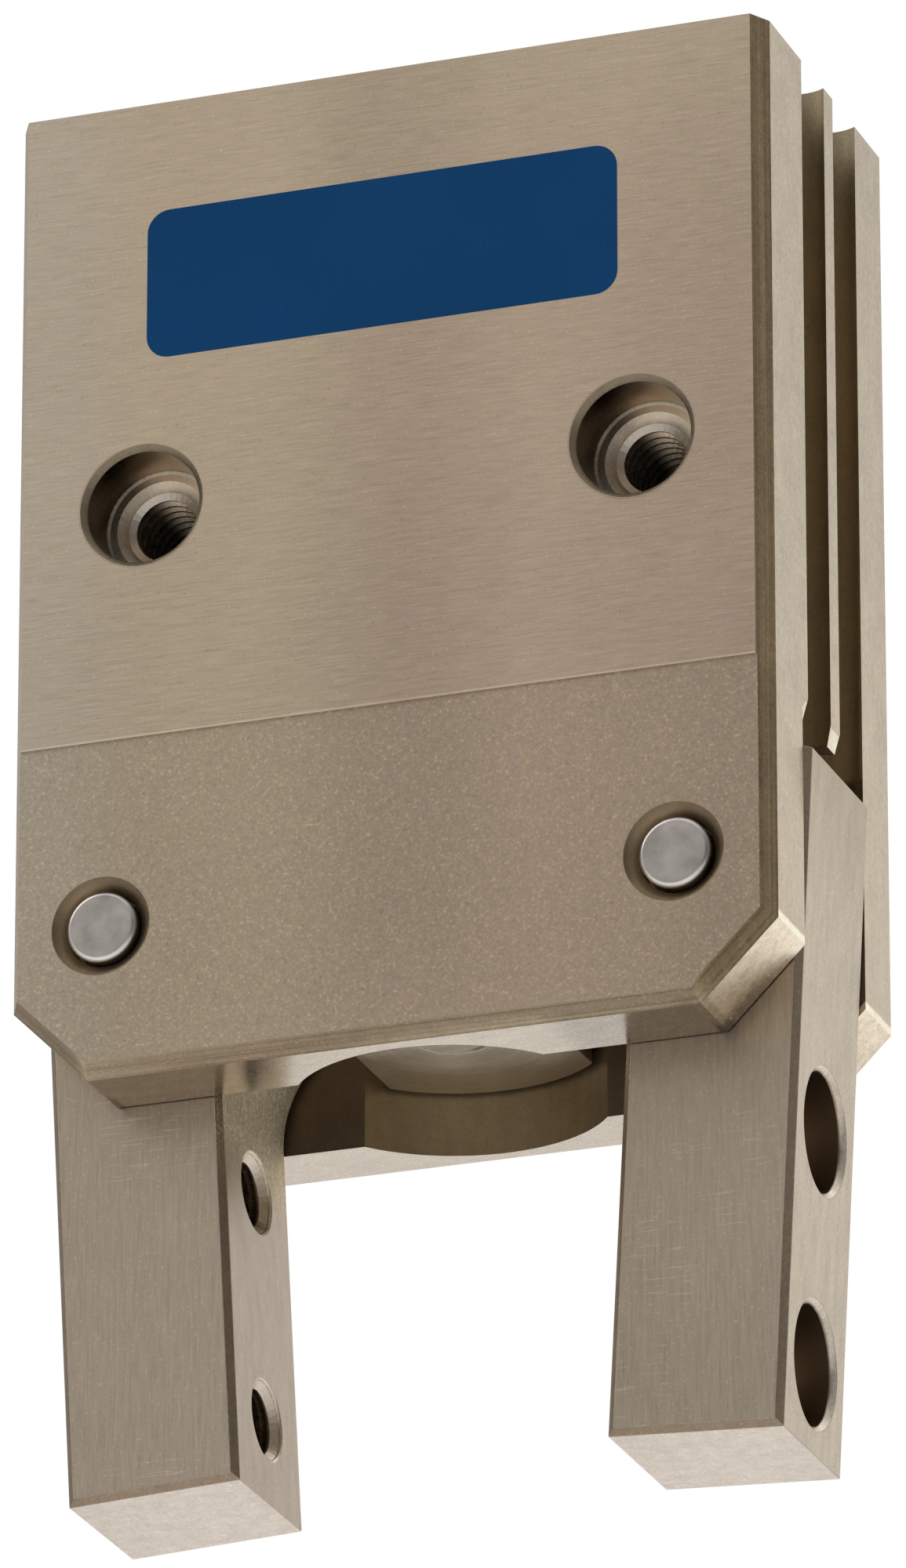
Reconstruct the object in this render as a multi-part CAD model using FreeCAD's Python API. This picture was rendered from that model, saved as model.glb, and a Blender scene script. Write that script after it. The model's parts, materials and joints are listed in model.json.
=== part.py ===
import FreeCAD, Part
import os
from math import asin, cos, degrees, hypot, pi, radians, sin, tan

# Angular gripper: a double-acting air cylinder swings two bell-crank jaws.
# Millimetres. The origin is the middle of the top mounting face, +Z points up out of that face,
# +X points to the right jaw and -Y to the front. Everything stands as it does with the jaws closed.

V = FreeCAD.Vector
ORIGIN = V(0, 0, 0)
RIGHT = V(1, 0, 0)
REAR = V(0, 1, 0)
UP = V(0, 0, 1)
FULL_TURN = 360
OVER = 1.0                 # how far a cutter starts outside the face it enters
TOUCH = 0.001              # an edge this close to a plane lies on it

# Clearances
SEAT_GAP = 0.01            # round pieces pressed or pushed into each other
RUN_GAP = 0.03             # shaft in its bush
LIP_GAP = 0.05             # seal lip or guide ring to the wall that it slides on
SLIDE_GAP = 0.1            # jaw to each cheek of the slot
TIP_PLAY = 0.1             # lever tip to each flange of the driver
END_GAP = 0.1              # bumper to its stop at the end of the stroke
PISTON_GAP = 0.2           # piston to the cylinder wall
FLANGE_GAP = 0.3           # driver flange to the bore that it passes through

# Housing
HOUSING_W = 40.0
HOUSING_T = 20.0
HOUSING_H = 52.0
CORNER_CUT = 4.0           # 45 degree cut at the two lower corners
BEVEL_FACE = 0.65          # edge bevel, measured in the front and rear faces
BEVEL_DEPTH = 1.2          # edge bevel, measured into the thickness
FACE_STEP = 0.1            # set-back of the lower part of the front and rear faces
FACE_STEP_H = 17.5         # height of that part above the lower edge
SLOT_W = 9.5               # cross slot that takes the jaws
SLOT_H = 16.2
SLOT_EDGE = 0.25           # shallow bevel where the slot's ceiling meets the sides
SLOT_EDGE_H = 1.1
CYLINDER_D = 14.0
GUIDE_SHOULDER = 1.0       # step from the cylinder out to the seat of the rod guide

# Screw threads, bored to their nominal diameter
M2_R = 1.0
M3_R = 1.5
M4_R = 2.0
M5_R = 2.5
THREAD_RIM = 0.15          # bevel at the mouth of a thread
THREAD_RUN_OUT = 1.0       # a threaded hole is this much deeper than its screw

# Mounting holes through the housing
MOUNT_SPACING = 26.0
MOUNT_DROP = 22.0          # below the top face
HEAD_BORE_D = 6.0          # counterbore for a screw head
HEAD_BORE_DEPTH = 3.1
HEAD_BORE_RIM = 0.3
HEAD_BORE_CORNER = 0.12    # bevel between the counterbore's wall and its floor
HEAD_BORE_SINK = 0.5       # countersink from the counterbore's floor into the thread
HEAD_BORE_SINK_DEPTH = 0.3
TOP_HOLE_SPACING = 20.0
TOP_HOLE_DEPTH = 8.0

# Air ports in the left side
PORT_DEPTH = 6.0
PASSAGE_D = 1.6
PASSAGE_INSET = 1.1        # axis of a passage from the end of the cylinder
PORT_DROP = 1.4            # axis of a port below its passage

# Sensor grooves in the right side
GROOVE_PITCH = 5.0
GROOVE_MID_Y = 0.45
GROOVE_D = 4.2             # round, so that its mouth is narrower
GROOVE_AXIS_DEPTH = 1.1

# Pivots
PIVOT_INSET = 5.0          # pin axis from the housing's side
PIVOT_HEIGHT = 7.7         # pin axis above the housing's lower edge
PIN_D = 3.7
PIN_ROUND = 0.3
PIN_RECESS_GAP = 0.1       # recess in the housing round a pin's end
PIN_RECESS_DEPTH = 1.5
PIN_RECESS_RIM = 0.65
PIVOT_BUSH_WALL = 0.7

# Jaws
CLOSED_DEG = 3.0           # swing past parallel with the jaws closed
OPEN_DEG = 15.0            # swing past parallel with the jaws open
JAW_W = 9.0
JAW_LENGTH = 28.0          # from the pin axis to the lower end
JAW_HEAD_H = 7.1           # from the pin axis to the upper end
JAW_HEAD_ROUND = 2.0
JAW_EDGE = 0.35
LEVER_H = 2.5
LEVER_TIP_R = 1.75
ROOT_R = 6.0               # hollow between the jaw's inner face and its lever
ROOT_DROP = 7.8            # lower end of that hollow below the pin axis
FINGER_HOLE_DROP = 11.5    # first finger hole below the pin axis
FINGER_HOLE_PITCH = 12.0
FINGER_BORE_DEPTH = 4.0

# Jaw driver
DRIVER_HEIGHT = 3.2        # its lower face above the housing's lower edge
DRIVER_FLANGE_T = 1.9
DRIVER_FLATS = 10.8        # across the flats that leave room for the levers
DRIVER_FLANGE_BEVEL = 1.1
DRIVER_COLLAR_D = 11.6
DRIVER_COLLAR_T = 2.2
DRIVER_NECK_D = 4.4
NECK_GAP = 0.45            # lever tip to the neck
ROD_SEAT = 1.0             # depth of the rod's seat in the driver
SCREW_GAP = 0.1            # screw to the hole that it passes through
DRIVER_SINK_R = 1.9        # countersink for the driver's screw
DRIVER_SOCKET = 1.3        # its socket, across flats
DRIVER_SOCKET_DEPTH = 0.6
SCREW_REACH = 6.0          # thread of each screw in the rod

# Piston and rod
ROD_D = 6.0
ROD_SHOULDER = 0.5
ROD_SHOULDER_SEAT = 1.5
ROD_TOP_GAP = 0.2
ROD_O_RING_W = 1.1
ROD_O_RING_DEPTH = 0.8
ROD_O_RING_DROP = 3.0      # below the rod's upper end
CAP_T = 3.2
CAP_SCREW_HEAD_R = 2.75
CAP_SCREW_HEAD_H = 2.0
CAP_SCREW_ROOM = 0.2
CAP_SOCKET = 2.0           # across flats
CAP_SOCKET_DEPTH = 1.1
MAGNET_H = 3.2
MAGNET_WALL = 2.0
MAGNET_INSET = 0.3
PISTON_LAND = 1.0          # below the guide ring and above the seal
RING_LAND = 1.2            # between the guide ring and the seal
PISTON_SEAL_W = 2.2
PISTON_SEAL_DEPTH = 1.6
SEAL_NOTCH = 0.5
SEAL_LIP = 0.6
GUIDE_RING_W = 2.5
GUIDE_RING_DEPTH = 0.8
BUMPER_PROUD = 0.5
BUMPER_SEAT = 0.7
BUMPER_W = 1.6
BUMPER_INSET = 0.8

# Rod guide
GUIDE_L = 6.5
GUIDE_EDGE = 0.4
GUIDE_O_RING_W = 1.7
GUIDE_O_RING_DEPTH = 1.3
GUIDE_ROD_GAP = 0.3
BUSH_WALL = 1.0
BUSH_L = 3.3
ROD_SEAL_WALL = 1.4
ROD_SEAL_W = 1.7
ROD_SEAL_INSET = 0.8       # from the guide's lower face
CIRCLIP_T = 1.0
CIRCLIP_COVER = 0.8        # metal between the circlip and the slot's ceiling
CIRCLIP_GROOVE = 0.4
CIRCLIP_W = 1.8
CIRCLIP_GAP = 6.0
CIRCLIP_EAR_R = 1.2
CIRCLIP_EYE_R = 0.55

# Levels and radii that follow
SIDE_X = HOUSING_W / 2
FRONT_Y = -HOUSING_T / 2
LOW_Z = -HOUSING_H
SLOT_Z = LOW_Z + SLOT_H
PIVOT_X = SIDE_X - PIVOT_INSET
PIVOT_Z = LOW_Z + PIVOT_HEIGHT
CYLINDER_R = CYLINDER_D / 2
SEAT_R = CYLINDER_R + GUIDE_SHOULDER
ROD_R = ROD_D / 2
PIN_R = PIN_D / 2
CIRCLIP_Z = SLOT_Z + CIRCLIP_COVER
GUIDE_LOW_Z = CIRCLIP_Z + CIRCLIP_T
GUIDE_TOP_Z = GUIDE_LOW_Z + GUIDE_L

# The lever turns the stroke of the driver into the swing of the jaw
DRIVER_LOW_Z = LOW_Z + DRIVER_HEIGHT
GROOVE_LOW_Z = DRIVER_LOW_Z + DRIVER_FLANGE_T
TIP_X = DRIVER_NECK_D / 2 + NECK_GAP + LEVER_TIP_R
TIP_Z = GROOVE_LOW_Z + TIP_PLAY + LEVER_TIP_R
GROOVE_TOP_Z = TIP_Z + LEVER_TIP_R + TIP_PLAY
DRIVER_TOP_Z = GROOVE_TOP_Z + DRIVER_COLLAR_T
LEVER_L = hypot(PIVOT_X - TIP_X, PIVOT_Z - TIP_Z)
LEVER_CLOSED_DEG = degrees(asin((PIVOT_Z - TIP_Z) / LEVER_L))
LEVER_OPEN_DEG = LEVER_CLOSED_DEG + CLOSED_DEG + OPEN_DEG
STROKE = LEVER_L * (sin(radians(LEVER_OPEN_DEG)) - sin(radians(LEVER_CLOSED_DEG)))

# The piston's own sizes and its stroke set how far up the cylinder is bored
PISTON_R = CYLINDER_R - PISTON_GAP
PISTON_H = 2 * PISTON_LAND + GUIDE_RING_W + RING_LAND + PISTON_SEAL_W + MAGNET_H + CAP_T
PISTON_LOW_Z = GUIDE_TOP_Z + END_GAP + BUMPER_PROUD + STROKE
PISTON_TOP_Z = PISTON_LOW_Z + PISTON_H
CYLINDER_TOP_Z = PISTON_TOP_Z + BUMPER_PROUD + END_GAP
CAP_LOW_Z = PISTON_TOP_Z - CAP_T
MAGNET_LOW_Z = CAP_LOW_Z - MAGNET_H
HUB_R = PISTON_R - MAGNET_INSET - MAGNET_WALL
SPIGOT_R = ROD_R - ROD_SHOULDER
ROD_TOP_Z = CAP_LOW_Z - ROD_TOP_GAP
ROD_SHOULDER_Z = PISTON_LOW_Z + ROD_SHOULDER_SEAT
ROD_LOW_Z = DRIVER_TOP_Z - ROD_SEAT
ROD_O_RING_Z = ROD_TOP_Z - ROD_O_RING_DROP


def turned(points):
    """Solid of revolution about the Z axis, from (radius, height) corners."""
    corners = [V(radius, 0, height) for radius, height in points]
    return Part.Face(Part.makePolygon(corners + corners[:1])).revolve(ORIGIN, UP, FULL_TURN)


def tube(inner, outer, low, high):
    """Plain ring about the Z axis."""
    return turned([(inner, low), (outer, low), (outer, high), (inner, high)])


def rod(radius, low, high):
    """Plain cylinder on the Z axis."""
    return Part.makeCylinder(radius, high - low, V(0, 0, low))


def plate(points, front, rear):
    """Outline of (x, z) corners, extruded from front to rear."""
    corners = [V(x, front, z) for x, z in points]
    return Part.Face(Part.makePolygon(corners + corners[:1])).extrude(REAR * (rear - front))


def drill(at, into, radius, depth, rim=0.0, corner=0.0):
    """Cutter for a round hole from a face, bevelled at its rim and round its floor where that is given."""
    cutter = Part.makeCylinder(radius, depth - corner + OVER, at - into * OVER, into)
    if rim:
        cutter = cutter.fuse(Part.makeCone(radius + rim, radius, rim, at, into))
    if corner:
        floor = at + into * (depth - corner)
        cutter = cutter.fuse(Part.makeCone(radius, radius - corner, corner, floor, into))
    return cutter


def six_corners(across_flats):
    """Corners of a hexagon, the first one on the first axis."""
    corner = across_flats / 2 / cos(pi / 6)
    return [(corner * cos(step * pi / 3), corner * sin(step * pi / 3)) for step in range(6)]


def hexagon(across_flats, low, high):
    """Six-sided prism on the Z axis, for a screw's socket."""
    corners = [V(x, y, low) for x, y in six_corners(across_flats)]
    return Part.Face(Part.makePolygon(corners + corners[:1])).extrude(UP * (high - low))


def squeezed_ring(inner, outer, z):
    """O-ring pressed flat between a groove's floor and the wall that it seals against."""
    middle = (inner + outer) / 2
    thickness = outer - inner - 2 * SEAT_GAP
    return turned([(middle + across, z + along) for along, across in six_corners(thickness)])


def mirrored(shape):
    """The same piece on the left side."""
    return shape.mirror(ORIGIN, RIGHT)


def housing_outline(inset, y):
    """Closed outline of the housing seen from the front, moved in from every edge but the top one."""
    corner = CORNER_CUT + inset * (2 ** 0.5 - 1)
    x = SIDE_X - inset
    points = [
        (-x, 0),
        (x, 0),
        (x, LOW_Z + corner),
        (SIDE_X - corner, LOW_Z + inset),
        (corner - SIDE_X, LOW_Z + inset),
        (-x, LOW_Z + corner),
    ]
    corners = [V(px, y, pz) for px, pz in points]
    return Part.makePolygon(corners + corners[:1])


def housing_block():
    """Outer form: bevelled front and rear edges, lower part of both faces set back."""
    rear_y = -FRONT_Y
    sections = [
        housing_outline(BEVEL_FACE, FRONT_Y),
        housing_outline(0, FRONT_Y + BEVEL_DEPTH),
        housing_outline(0, rear_y - BEVEL_DEPTH),
        housing_outline(BEVEL_FACE, rear_y),
    ]
    block = Part.makeLoft(sections, True, True)
    step_h = FACE_STEP_H + OVER
    steps = [
        Part.makeBox(HOUSING_W, FACE_STEP, step_h, V(-SIDE_X, FRONT_Y, LOW_Z - OVER)),
        Part.makeBox(HOUSING_W, FACE_STEP, step_h, V(-SIDE_X, rear_y - FACE_STEP, LOW_Z - OVER)),
    ]
    return block.cut(steps)


def bore_cutters():
    """Cylinder, rod guide seat that runs out below, and circlip groove."""
    return [
        rod(CYLINDER_R, GUIDE_TOP_Z - OVER, CYLINDER_TOP_Z),
        rod(SEAT_R, LOW_Z - OVER, GUIDE_TOP_Z),
        rod(SEAT_R + CIRCLIP_GROOVE, CIRCLIP_Z - SEAT_GAP, GUIDE_LOW_Z + SEAT_GAP),
    ]


def slot_cutter():
    """Cross slot for the jaws, its ceiling bevelled at both sides."""
    right = [
        (SIDE_X + OVER, LOW_Z - OVER),
        (SIDE_X + OVER, SLOT_Z + SLOT_EDGE_H),
        (SIDE_X, SLOT_Z + SLOT_EDGE_H),
        (SIDE_X - SLOT_EDGE, SLOT_Z),
    ]
    left = [(-x, z) for x, z in reversed(right)]
    return plate(right + left, -SLOT_W / 2, SLOT_W / 2)


def mounting_cutters():
    """Two counterbored threads through the thickness and two threads in the top face."""
    cutters = []
    bore_r = HEAD_BORE_D / 2
    for side in (-1, 1):
        mouth = V(side * MOUNT_SPACING / 2, FRONT_Y, -MOUNT_DROP)
        floor = mouth + REAR * HEAD_BORE_DEPTH
        cutters.append(drill(mouth, REAR, bore_r, HEAD_BORE_DEPTH, HEAD_BORE_RIM, HEAD_BORE_CORNER))
        cutters.append(Part.makeCone(M4_R + HEAD_BORE_SINK, M4_R, HEAD_BORE_SINK_DEPTH, floor, REAR))
        cutters.append(drill(floor, REAR, M4_R, HOUSING_T - HEAD_BORE_DEPTH + OVER))
        cutters.append(drill(mouth + REAR * HOUSING_T, -REAR, M4_R, OVER, THREAD_RIM))
        top = V(side * TOP_HOLE_SPACING / 2, 0, 0)
        cutters.append(drill(top, -UP, M4_R, TOP_HOLE_DEPTH, THREAD_RIM))
    return cutters


def pin_cutters():
    """Pin holes through both cheeks, with a bevelled recess round each pin end."""
    cutters = []
    face_y = FRONT_Y + FACE_STEP
    for side in (-1, 1):
        front = V(side * PIVOT_X, face_y, PIVOT_Z)
        rear = V(side * PIVOT_X, -face_y, PIVOT_Z)
        cutters.append(drill(front, REAR, PIN_R + SEAT_GAP, HOUSING_T))
        for face, into in ((front, REAR), (rear, -REAR)):
            cutters.append(drill(face, into, PIN_R + PIN_RECESS_GAP, PIN_RECESS_DEPTH, PIN_RECESS_RIM))
    return cutters


def port_cutters():
    """Two air ports in the left side, each with a passage to one end of the cylinder."""
    cutters = []
    passage_l = SIDE_X - CYLINDER_R + OVER
    for passage_z in (CYLINDER_TOP_Z - PASSAGE_INSET, GUIDE_TOP_Z + PASSAGE_INSET):
        cutters.append(drill(V(-SIDE_X, 0, passage_z - PORT_DROP), RIGHT, M5_R, PORT_DEPTH, THREAD_RIM))
        passage = V(-SIDE_X + PORT_DEPTH - OVER, 0, passage_z)
        cutters.append(Part.makeCylinder(PASSAGE_D / 2, passage_l - PORT_DEPTH + OVER, passage, RIGHT))
    return cutters


def groove_cutters():
    """Two round sensor grooves, open at the top face and into the slot."""
    low = SLOT_Z - OVER
    x = SIDE_X - GROOVE_AXIS_DEPTH
    ys = [GROOVE_MID_Y + step * GROOVE_PITCH for step in (-0.5, 0.5)]
    return [Part.makeCylinder(GROOVE_D / 2, OVER - low, V(x, y, low)) for y in ys]


def housing():
    cutters = bore_cutters() + mounting_cutters() + pin_cutters() + port_cutters() + groove_cutters()
    return housing_block().cut(cutters + [slot_cutter()]).removeSplitter()


def pivot_pin():
    """Right pin, flush with the set-back faces, its ends rounded."""
    face_y = FRONT_Y + FACE_STEP
    pin = Part.makeCylinder(PIN_R, -2 * face_y, V(PIVOT_X, face_y, PIVOT_Z), REAR)
    ends = [edge for edge in pin.Edges if len(edge.Vertexes) == 1]
    return pin.makeFillet(PIN_ROUND, ends)


def jaw_t():
    return SLOT_W - 2 * SLIDE_GAP


def pivot_bush():
    """Bearing of the right jaw on its pin."""
    length = jaw_t()
    inner = PIN_R + RUN_GAP
    start = V(PIVOT_X, -length / 2, PIVOT_Z)
    outside = Part.makeCylinder(inner + PIVOT_BUSH_WALL, length, start, REAR)
    return outside.cut(Part.makeCylinder(inner, length, start, REAR))


def jaw_blank():
    """Right jaw about its pin axis, limb upright: limb, lever, round lever tip and hollow root."""
    inner = PIVOT_INSET - JAW_W
    front = -jaw_t() / 2
    rear = jaw_t() / 2
    turn = radians(LEVER_CLOSED_DEG + CLOSED_DEG)
    tip = (-LEVER_L * cos(turn), -LEVER_L * sin(turn))
    across = (LEVER_H / 2 * sin(turn), -LEVER_H / 2 * cos(turn))
    limb = plate(
        [(PIVOT_INSET, JAW_HEAD_H), (PIVOT_INSET, -JAW_LENGTH), (inner, -JAW_LENGTH), (inner, JAW_HEAD_H)],
        front, rear,
    )
    lever = plate(
        [
            (across[0], across[1]),
            (tip[0] + across[0], tip[1] + across[1]),
            (tip[0] - across[0], tip[1] - across[1]),
            (-across[0], -across[1]),
        ],
        front, rear,
    )
    tip_round = Part.makeCylinder(LEVER_TIP_R, jaw_t(), V(tip[0], front, tip[1]), REAR)
    flange_x = DRIVER_FLATS / 2 + FLANGE_GAP - PIVOT_X
    web_x = max(tip[0], inner - ROOT_R, flange_x)
    web = plate([(0, 0), (0, -ROOT_DROP), (web_x, -ROOT_DROP), (web_x, web_x * tan(turn))], front, rear)
    hollow = Part.makeCylinder(ROOT_R, jaw_t(), V(inner - ROOT_R, front, -ROOT_DROP), REAR)
    return limb.fuse([lever, tip_round, web.cut(hollow)]).removeSplitter()


def middle_of(edge):
    return edge.valueAt((edge.FirstParameter + edge.LastParameter) / 2)


def edges_on(shape, test):
    """Edges whose middle passes the test."""
    return [edge for edge in shape.Edges if test(middle_of(edge))]


def jaw_finished(blank):
    """Rounded head, bevelled limb and root edges, pivot bore and the two finger holes."""
    inner = PIVOT_INSET - JAW_W
    half_t = jaw_t() / 2

    def at(value, plane):
        return abs(value - plane) < TOUCH

    def inner_head(point):
        return at(point.y, 0) and at(point.x, inner) and at(point.z, JAW_HEAD_H)

    def round_limb(point):
        outer_edge = at(point.x, PIVOT_INSET)
        inner_edge = at(point.x, inner) and point.z < -ROOT_DROP
        low_edge = at(point.z, -JAW_LENGTH)
        root_edge = at(hypot(point.x - inner + ROOT_R, point.z + ROOT_DROP), ROOT_R)
        return at(abs(point.y), half_t) and (outer_edge or inner_edge or low_edge or root_edge)

    jaw = blank.makeFillet(JAW_HEAD_ROUND, edges_on(blank, inner_head))
    jaw = jaw.makeChamfer(JAW_EDGE, edges_on(jaw, round_limb))
    bush_r = PIN_R + RUN_GAP + PIVOT_BUSH_WALL + SEAT_GAP
    cutters = [Part.makeCylinder(bush_r, 2 * half_t, V(0, -half_t, 0), REAR)]
    for step in (0, 1):
        z = -FINGER_HOLE_DROP - step * FINGER_HOLE_PITCH
        outside = V(PIVOT_INSET, 0, z)
        inside = V(inner, 0, z)
        cutters.append(
            drill(outside, -RIGHT, HEAD_BORE_D / 2, FINGER_BORE_DEPTH, HEAD_BORE_RIM, HEAD_BORE_CORNER)
        )
        cutters.append(drill(inside, RIGHT, M4_R, JAW_W, THREAD_RIM))
    return jaw.cut(cutters).removeSplitter()


def base_jaw():
    """Right jaw in its closed place."""
    jaw = jaw_finished(jaw_blank())
    jaw.rotate(ORIGIN, REAR, CLOSED_DEG)
    jaw.translate(V(PIVOT_X, 0, PIVOT_Z))
    return jaw


def jaw_driver():
    """Turned spool: a wide lower flange with two flats, and a collar, with the lever tips between them."""
    flange_r = SEAT_R - FLANGE_GAP
    neck_r = DRIVER_NECK_D / 2
    collar_r = DRIVER_COLLAR_D / 2
    hole_r = M2_R + SCREW_GAP
    seat_r = ROD_R + SEAT_GAP
    spool = turned([
        (DRIVER_SINK_R, DRIVER_LOW_Z),
        (flange_r, DRIVER_LOW_Z),
        (flange_r, GROOVE_LOW_Z - DRIVER_FLANGE_BEVEL),
        (flange_r - DRIVER_FLANGE_BEVEL, GROOVE_LOW_Z),
        (neck_r, GROOVE_LOW_Z),
        (neck_r, GROOVE_TOP_Z),
        (collar_r, GROOVE_TOP_Z),
        (collar_r, DRIVER_TOP_Z),
        (seat_r, DRIVER_TOP_Z),
        (seat_r, ROD_LOW_Z),
        (hole_r, ROD_LOW_Z),
        (hole_r, DRIVER_LOW_Z + DRIVER_SINK_R - hole_r),
    ])
    flat_xs = (DRIVER_FLATS / 2, -DRIVER_FLATS / 2 - SEAT_R)
    corners = [V(x, -SEAT_R, DRIVER_LOW_Z) for x in flat_xs]
    return spool.cut([Part.makeBox(SEAT_R, 2 * SEAT_R, DRIVER_FLANGE_T, corner) for corner in corners])


def driver_screw():
    """Countersunk screw from below, into the end of the rod."""
    head_low = DRIVER_LOW_Z + SCREW_GAP
    head_r = DRIVER_SINK_R - SCREW_GAP - 2 * SEAT_GAP
    screw = turned([
        (0, head_low),
        (head_r, head_low),
        (M2_R, head_low + head_r - M2_R),
        (M2_R, ROD_LOW_Z + SCREW_REACH),
        (0, ROD_LOW_Z + SCREW_REACH),
    ])
    return screw.cut(hexagon(DRIVER_SOCKET, head_low - OVER, head_low + DRIVER_SOCKET_DEPTH))


def piston_rod():
    """Stepped rod with a thread in each end and a groove for its static seal."""
    thread_l = SCREW_REACH + THREAD_RUN_OUT
    groove_half = ROD_O_RING_W / 2
    shaft = turned([
        (0, ROD_LOW_Z),
        (ROD_R, ROD_LOW_Z),
        (ROD_R, ROD_SHOULDER_Z),
        (SPIGOT_R, ROD_SHOULDER_Z),
        (SPIGOT_R, ROD_O_RING_Z - groove_half),
        (SPIGOT_R - ROD_O_RING_DEPTH, ROD_O_RING_Z - groove_half),
        (SPIGOT_R - ROD_O_RING_DEPTH, ROD_O_RING_Z + groove_half),
        (SPIGOT_R, ROD_O_RING_Z + groove_half),
        (SPIGOT_R, ROD_TOP_Z),
        (0, ROD_TOP_Z),
    ])
    return shaft.cut([
        rod(M2_R + SEAT_GAP, ROD_LOW_Z - OVER, ROD_LOW_Z + thread_l),
        rod(M3_R + SEAT_GAP, ROD_TOP_Z - thread_l, ROD_TOP_Z + OVER),
    ])


def bumper_radii():
    outer = PISTON_R - BUMPER_INSET
    return outer - BUMPER_W, outer


def bumper(face_z, outward):
    """End-stop ring in a groove of the piston's face, standing proud of it."""
    inner, outer = bumper_radii()
    ends = sorted((face_z - outward * (BUMPER_SEAT - SEAT_GAP), face_z + outward * BUMPER_PROUD))
    return tube(inner + SEAT_GAP, outer - SEAT_GAP, ends[0], ends[1])


def piston():
    """Piston body with the hub for the magnet, the seal's groove and the guide ring's groove."""
    seal_top = MAGNET_LOW_Z - PISTON_LAND
    seal_low = seal_top - PISTON_SEAL_W
    ring_low = PISTON_LOW_Z + PISTON_LAND
    ring_top = ring_low + GUIDE_RING_W
    seal_floor = PISTON_R - PISTON_SEAL_DEPTH
    ring_floor = PISTON_R - GUIDE_RING_DEPTH
    seat_r = ROD_R + SEAT_GAP
    hole_r = SPIGOT_R + SEAT_GAP
    bumper_in, bumper_out = bumper_radii()
    return turned([
        (seat_r, PISTON_LOW_Z),
        (bumper_in, PISTON_LOW_Z),
        (bumper_in, PISTON_LOW_Z + BUMPER_SEAT),
        (bumper_out, PISTON_LOW_Z + BUMPER_SEAT),
        (bumper_out, PISTON_LOW_Z),
        (PISTON_R, PISTON_LOW_Z),
        (PISTON_R, ring_low),
        (ring_floor, ring_low),
        (ring_floor, ring_top),
        (PISTON_R, ring_top),
        (PISTON_R, seal_low),
        (seal_floor, seal_low),
        (seal_floor, seal_top),
        (PISTON_R, seal_top),
        (PISTON_R, MAGNET_LOW_Z),
        (HUB_R, MAGNET_LOW_Z),
        (HUB_R, CAP_LOW_Z),
        (hole_r, CAP_LOW_Z),
        (hole_r, ROD_SHOULDER_Z),
        (seat_r, ROD_SHOULDER_Z),
    ])


def piston_cap():
    """Upper plate of the piston, with the screw head's bore and the bumper's groove."""
    hole_r = M3_R + SCREW_GAP
    head_r = CAP_SCREW_HEAD_R + CAP_SCREW_ROOM
    floor_z = PISTON_TOP_Z - CAP_SCREW_HEAD_H - CAP_SCREW_ROOM
    bumper_in, bumper_out = bumper_radii()
    return turned([
        (hole_r, CAP_LOW_Z),
        (PISTON_R, CAP_LOW_Z),
        (PISTON_R, PISTON_TOP_Z),
        (bumper_out, PISTON_TOP_Z),
        (bumper_out, PISTON_TOP_Z - BUMPER_SEAT),
        (bumper_in, PISTON_TOP_Z - BUMPER_SEAT),
        (bumper_in, PISTON_TOP_Z),
        (head_r, PISTON_TOP_Z),
        (head_r, floor_z),
        (hole_r, floor_z),
    ])


def piston_screw():
    """Socket-head screw that clamps cap, magnet and piston to the rod."""
    seat_z = PISTON_TOP_Z - CAP_SCREW_HEAD_H - CAP_SCREW_ROOM
    top_z = seat_z + CAP_SCREW_HEAD_H
    screw = turned([
        (0, ROD_TOP_Z - SCREW_REACH),
        (M3_R, ROD_TOP_Z - SCREW_REACH),
        (M3_R, seat_z),
        (CAP_SCREW_HEAD_R, seat_z),
        (CAP_SCREW_HEAD_R, top_z),
        (0, top_z),
    ])
    return screw.cut(hexagon(CAP_SOCKET, top_z - CAP_SOCKET_DEPTH, top_z + OVER))


def piston_seal():
    """Two-way lip seal: both lips touch the cylinder wall, with a notch between them."""
    inner = PISTON_R - PISTON_SEAL_DEPTH + SEAT_GAP
    outer = CYLINDER_R - LIP_GAP
    top = MAGNET_LOW_Z - PISTON_LAND - SEAT_GAP
    low = MAGNET_LOW_Z - PISTON_LAND - PISTON_SEAL_W + SEAT_GAP
    middle = (top + low) / 2
    return turned([
        (inner, low),
        (outer - SEAL_NOTCH, low),
        (outer, low + SEAL_LIP),
        (outer - SEAL_NOTCH, middle),
        (outer, top - SEAL_LIP),
        (outer - SEAL_NOTCH, top),
        (inner, top),
    ])


def rod_guide():
    """Partition between cylinder and slot, with the bush's seat and the seal grooves."""
    outer = SEAT_R - SEAT_GAP
    ring_floor = SEAT_R - GUIDE_O_RING_DEPTH
    ring_half = GUIDE_O_RING_W / 2
    ring_z = (GUIDE_LOW_Z + GUIDE_TOP_Z) / 2
    bore = ROD_R + GUIDE_ROD_GAP
    bush_r = ROD_R + BUSH_WALL
    bush_low = GUIDE_TOP_Z - BUSH_L
    seal_r = ROD_R + ROD_SEAL_WALL
    seal_low = GUIDE_LOW_Z + ROD_SEAL_INSET
    seal_top = seal_low + ROD_SEAL_W
    return turned([
        (bore, GUIDE_LOW_Z),
        (outer - GUIDE_EDGE, GUIDE_LOW_Z),
        (outer, GUIDE_LOW_Z + GUIDE_EDGE),
        (outer, ring_z - ring_half),
        (ring_floor, ring_z - ring_half),
        (ring_floor, ring_z + ring_half),
        (outer, ring_z + ring_half),
        (outer, GUIDE_TOP_Z),
        (bush_r, GUIDE_TOP_Z),
        (bush_r, bush_low),
        (bore, bush_low),
        (bore, seal_top),
        (seal_r, seal_top),
        (seal_r, seal_low),
        (bore, seal_low),
    ])


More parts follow.
